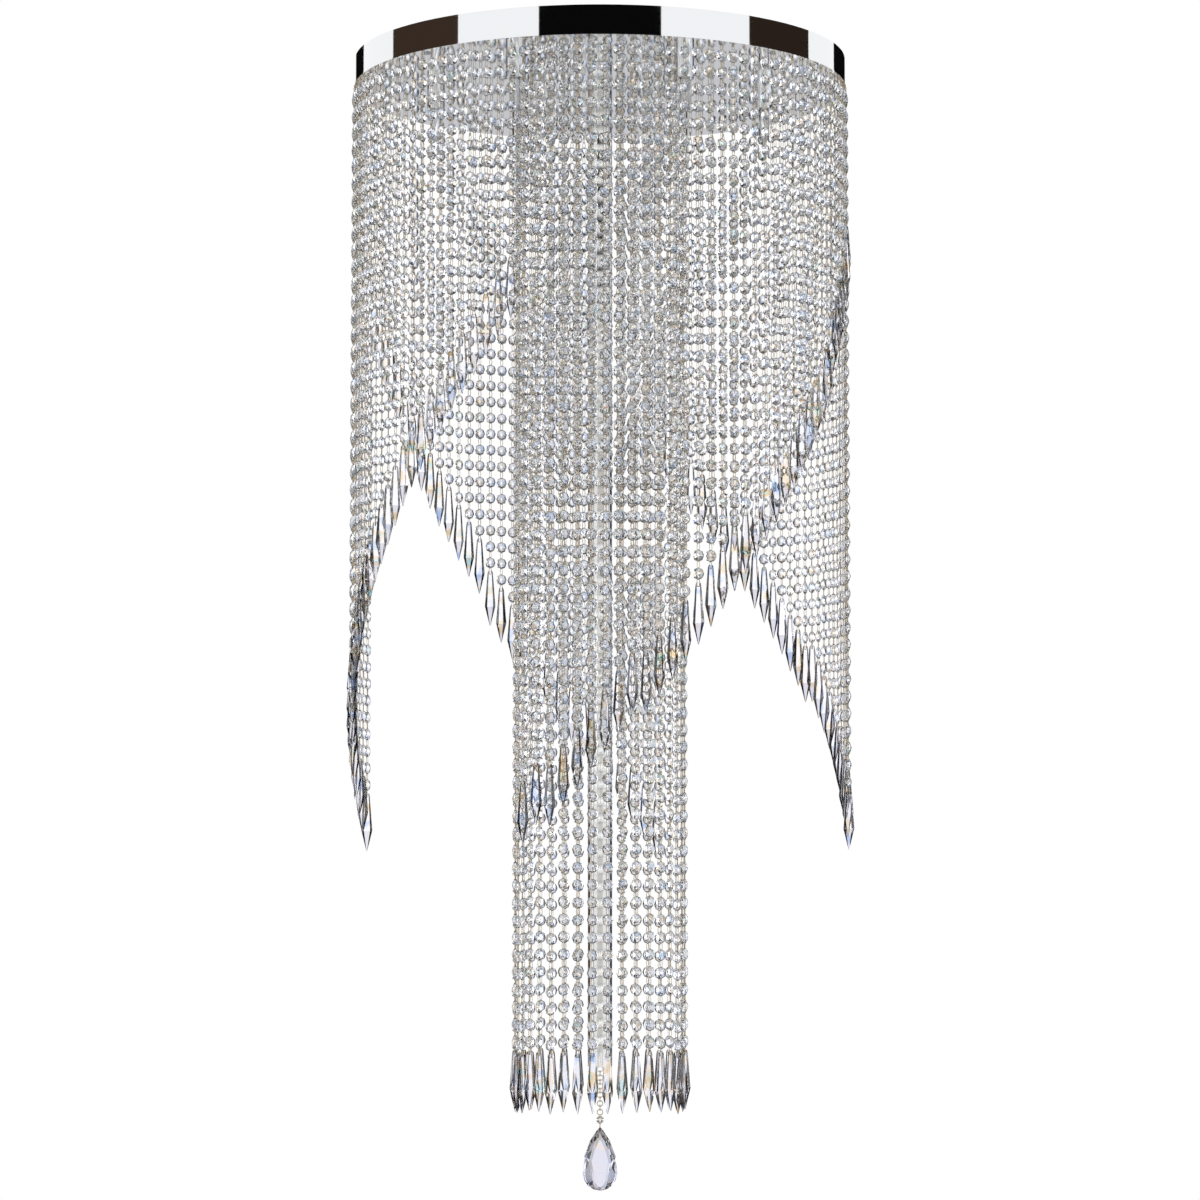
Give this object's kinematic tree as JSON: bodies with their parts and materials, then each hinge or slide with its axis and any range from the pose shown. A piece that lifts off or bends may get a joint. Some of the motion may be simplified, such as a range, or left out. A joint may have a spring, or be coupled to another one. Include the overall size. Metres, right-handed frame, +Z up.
{
  "type": "crystal ceiling light",
  "caption": "Flush chromed ceiling light with a spiral curtain of crystal bead strands round an inner crystal column and a pear drop.",
  "frame": {"origin": "centre of the ceiling plane that the canopy sits against, on the light's axis", "axes": "+Z up through the ceiling, the light hangs along -Z; the pictured side faces -Y with +X to its right"},
  "size_m": [0.6238, 0.6238, 1.3958],
  "materials": {
    "polished_chrome": "mirror polished",
    "zinc_steel": "zinc plated",
    "nickel_wire": "bright nickel wire",
    "bead_crystal": "clear, cut and polished",
    "prism_crystal": "clear, cut and polished",
    "drop_crystal": "clear, cut and polished",
    "lamp_glass": "clear",
    "white_nylon": "moulded",
    "brass": "turned",
    "lead_insulation": "extruded"
  },
  "bodies": {
    "root": {"ceiling_bracket": "zinc_steel", "bracket_studs": "zinc_steel", "hex_nuts": "zinc_steel", "canopy_band": "polished_chrome", "canopy_base": "polished_chrome", "band_tabs": "zinc_steel", "tab_screws": "zinc_steel", "cap_nuts": "polished_chrome", "outer_hooks": "nickel_wire", "inner_hooks": "nickel_wire", "stem_flange": "polished_chrome", "stem_tube": "polished_chrome", "tie_rod": "zinc_steel", "stem_end_cap": "polished_chrome", "lampholders": "polished_chrome", "lamps": "lamp_glass", "terminal_block": "white_nylon", "terminal_screws": "zinc_steel", "earth_terminal": "brass", "wiring_leads": "lead_insulation"},
    "outer_sector_1": {"outer_strands_1": "bead_crystal", "outer_prisms_1": "prism_crystal"},
    "outer_sector_2": {"outer_strands_2": "bead_crystal", "outer_prisms_2": "prism_crystal"},
    "outer_sector_3": {"outer_strands_3": "bead_crystal", "outer_prisms_3": "prism_crystal"},
    "outer_sector_4": {"outer_strands_4": "bead_crystal", "outer_prisms_4": "prism_crystal"},
    "outer_sector_5": {"outer_strands_5": "bead_crystal", "outer_prisms_5": "prism_crystal"},
    "outer_sector_6": {"outer_strands_6": "bead_crystal", "outer_prisms_6": "prism_crystal"},
    "outer_sector_7": {"outer_strands_7": "bead_crystal", "outer_prisms_7": "prism_crystal"},
    "outer_sector_8": {"outer_strands_8": "bead_crystal", "outer_prisms_8": "prism_crystal"},
    "outer_sector_9": {"outer_strands_9": "bead_crystal", "outer_prisms_9": "prism_crystal"},
    "outer_sector_10": {"outer_strands_10": "bead_crystal", "outer_prisms_10": "prism_crystal"},
    "outer_sector_11": {"outer_strands_11": "bead_crystal", "outer_prisms_11": "prism_crystal"},
    "outer_sector_12": {"outer_strands_12": "bead_crystal", "outer_prisms_12": "prism_crystal"},
    "column_sector_1": {"column_strands_1": "bead_crystal", "column_prisms_1": "prism_crystal"},
    "column_sector_2": {"column_strands_2": "bead_crystal", "column_prisms_2": "prism_crystal"},
    "column_sector_3": {"column_strands_3": "bead_crystal", "column_prisms_3": "prism_crystal"},
    "column_sector_4": {"column_strands_4": "bead_crystal", "column_prisms_4": "prism_crystal"},
    "column_sector_5": {"column_strands_5": "bead_crystal", "column_prisms_5": "prism_crystal"},
    "column_sector_6": {"column_strands_6": "bead_crystal", "column_prisms_6": "prism_crystal"},
    "pendant_chain": {"pendant_chain": "nickel_wire"},
    "pendant_drop": {"pendant_pin": "nickel_wire", "pendant_bead": "bead_crystal", "pear_drop": "drop_crystal"}
  },
  "joints": [
    {"name": "outer_sector_1_swing", "type": "hinge", "parent": "root", "child": "outer_sector_1", "pos_m": [-0.3009, 0.0184, -0.0403], "axis": [0.061, 0.9981, 0], "range_deg": [0, 4]},
    {"name": "outer_sector_2_swing", "type": "hinge", "parent": "root", "child": "outer_sector_2", "pos_m": [-0.26979, -0.13451, -0.0403], "axis": [-0.4462, 0.8949, 0], "range_deg": [0, 4]},
    {"name": "outer_sector_3_swing", "type": "hinge", "parent": "root", "child": "outer_sector_3", "pos_m": [-0.16639, -0.25139, -0.0403], "axis": [-0.8339, 0.5519, 0], "range_deg": [0, 4]},
    {"name": "outer_sector_4_swing", "type": "hinge", "parent": "root", "child": "outer_sector_4", "pos_m": [-0.0184, -0.3009, -0.0403], "axis": [-0.9981, 0.061, 0], "range_deg": [0, 4]},
    {"name": "outer_sector_5_swing", "type": "hinge", "parent": "root", "child": "outer_sector_5", "pos_m": [0.13451, -0.26979, -0.0403], "axis": [-0.8949, -0.4462, 0], "range_deg": [0, 4]},
    {"name": "outer_sector_6_swing", "type": "hinge", "parent": "root", "child": "outer_sector_6", "pos_m": [0.25141, -0.1664, -0.0403], "axis": [-0.5519, -0.8339, 0], "range_deg": [0, 4]},
    {"name": "outer_sector_7_swing", "type": "hinge", "parent": "root", "child": "outer_sector_7", "pos_m": [0.30088, -0.0184, -0.0403], "axis": [-0.061, -0.9981, 0], "range_deg": [0, 4]},
    {"name": "outer_sector_8_swing", "type": "hinge", "parent": "root", "child": "outer_sector_8", "pos_m": [0.26978, 0.13451, -0.0403], "axis": [0.4462, -0.8949, 0], "range_deg": [0, 4]},
    {"name": "outer_sector_9_swing", "type": "hinge", "parent": "root", "child": "outer_sector_9", "pos_m": [0.16639, 0.25139, -0.0403], "axis": [0.8339, -0.5519, 0], "range_deg": [0, 4]},
    {"name": "outer_sector_10_swing", "type": "hinge", "parent": "root", "child": "outer_sector_10", "pos_m": [0.01842, 0.30121, -0.0403], "axis": [0.9981, -0.061, 0], "range_deg": [0, 4]},
    {"name": "outer_sector_11_swing", "type": "hinge", "parent": "root", "child": "outer_sector_11", "pos_m": [-0.13452, 0.2698, -0.0403], "axis": [0.8949, 0.4462, 0], "range_deg": [0, 4]},
    {"name": "outer_sector_12_swing", "type": "hinge", "parent": "root", "child": "outer_sector_12", "pos_m": [-0.25139, 0.16639, -0.0403], "axis": [0.5519, 0.8339, 0], "range_deg": [0, 4]},
    {"name": "column_sector_1_swing", "type": "hinge", "parent": "root", "child": "column_sector_1", "pos_m": [0.04972, -0.08612, -0.0403], "axis": [-0.866, -0.5, 0], "range_deg": [0, 3]},
    {"name": "column_sector_2_swing", "type": "hinge", "parent": "root", "child": "column_sector_2", "pos_m": [0.09944, 0, -0.0403], "axis": [0, -1, 0], "range_deg": [0, 3]},
    {"name": "column_sector_3_swing", "type": "hinge", "parent": "root", "child": "column_sector_3", "pos_m": [0.04972, 0.08612, -0.0403], "axis": [0.866, -0.5, 0], "range_deg": [0, 3]},
    {"name": "column_sector_4_swing", "type": "hinge", "parent": "root", "child": "column_sector_4", "pos_m": [-0.04972, 0.08612, -0.0403], "axis": [0.866, 0.5, 0], "range_deg": [0, 3]},
    {"name": "column_sector_5_swing", "type": "hinge", "parent": "root", "child": "column_sector_5", "pos_m": [-0.09944, 0, -0.0403], "axis": [0, 1, 0], "range_deg": [0, 3]},
    {"name": "column_sector_6_swing", "type": "hinge", "parent": "root", "child": "column_sector_6", "pos_m": [-0.04972, -0.08612, -0.0403], "axis": [-0.866, 0.5, 0], "range_deg": [0, 3]},
    {"name": "pendant_chain_swing", "type": "hinge", "parent": "root", "child": "pendant_chain", "pos_m": [0, 0, -1.2522], "axis": [1, 0, 0], "range_deg": [-12, 12]},
    {"name": "pear_drop_swing", "type": "hinge", "parent": "pendant_chain", "child": "pendant_drop", "pos_m": [0, 0, -1.299], "axis": [0, 1, 0], "range_deg": [-15, 15]}
  ]
}
